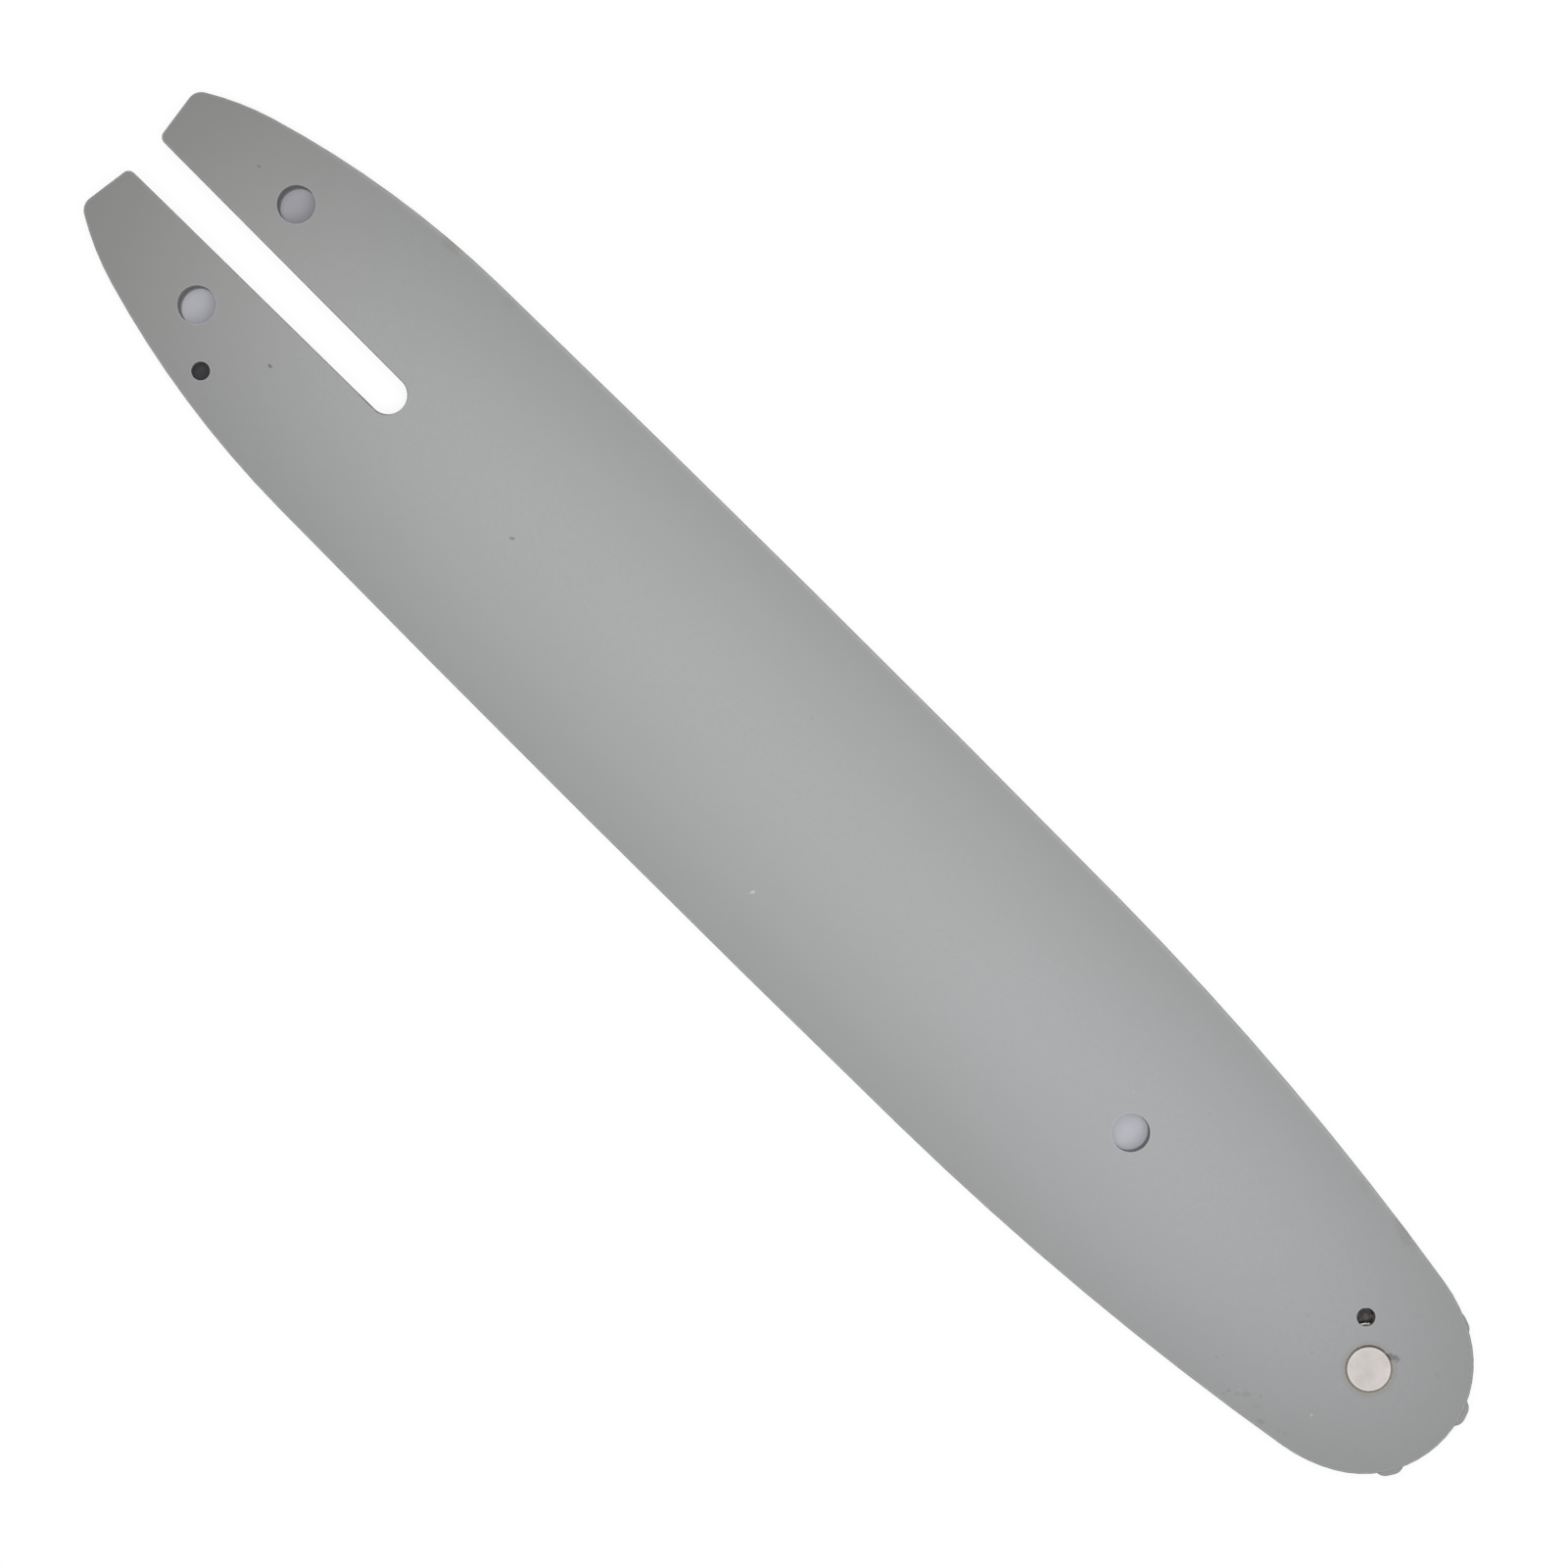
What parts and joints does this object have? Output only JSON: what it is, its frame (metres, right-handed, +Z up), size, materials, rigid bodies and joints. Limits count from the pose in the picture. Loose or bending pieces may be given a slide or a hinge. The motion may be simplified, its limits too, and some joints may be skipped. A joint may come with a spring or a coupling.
{
  "type": "chainsaw guide bar",
  "caption": "Flat steel chainsaw guide bar: bowed rails with a chain groove, a slotted tail with tensioner and oil holes, and a toothed sprocket that turns on rollers in its nose.",
  "frame": {"origin": "middle of the bar's length, on its centre line, at the face it lies on", "axes": "+X along the bar to its nose, +Y across the bar, +Z up through its plates"},
  "size_m": [0.3003, 0.0524, 0.004],
  "materials": {
    "bar_paint": "satin grey coat",
    "core_steel": "satin grey coat",
    "sprocket_steel": "dark hardened steel",
    "bearing_steel": "greased ground steel",
    "rivet_steel": "bright ground steel"
  },
  "bodies": {
    "bar": {"side_plate_top": "bar_paint", "side_plate_bottom": "bar_paint", "core_plate": "core_steel", "bearing_race": "bearing_steel", "nose_rivet": "rivet_steel"},
    "sprocket": {"nose_sprocket": "sprocket_steel"},
    "rollers": {"bearing_roller_01": "bearing_steel", "bearing_roller_02": "bearing_steel", "bearing_roller_03": "bearing_steel", "bearing_roller_04": "bearing_steel", "bearing_roller_05": "bearing_steel", "bearing_roller_06": "bearing_steel", "bearing_roller_07": "bearing_steel", "bearing_roller_08": "bearing_steel", "bearing_roller_09": "bearing_steel", "bearing_roller_10": "bearing_steel", "bearing_roller_11": "bearing_steel", "bearing_roller_12": "bearing_steel", "bearing_roller_13": "bearing_steel", "bearing_roller_14": "bearing_steel", "bearing_roller_15": "bearing_steel", "bearing_roller_16": "bearing_steel", "bearing_roller_17": "bearing_steel", "bearing_roller_18": "bearing_steel", "bearing_roller_19": "bearing_steel", "bearing_roller_20": "bearing_steel", "bearing_roller_21": "bearing_steel", "bearing_roller_22": "bearing_steel"}
  },
  "joints": [
    {"name": "sprocket_spin", "type": "hinge", "parent": "bar", "child": "sprocket", "pos_m": [0.1332, 0, 0.002], "axis": [0, 0, 1], "continuous": true},
    {"name": "rollers_orbit", "type": "hinge", "parent": "bar", "child": "rollers", "pos_m": [0.1332, 0, 0.002], "axis": [0, 0, 1], "continuous": true}
  ],
  "couplings": [
    {"joint": "rollers_orbit", "follows": "sprocket_spin", "ratio": 0.5716}
  ]
}
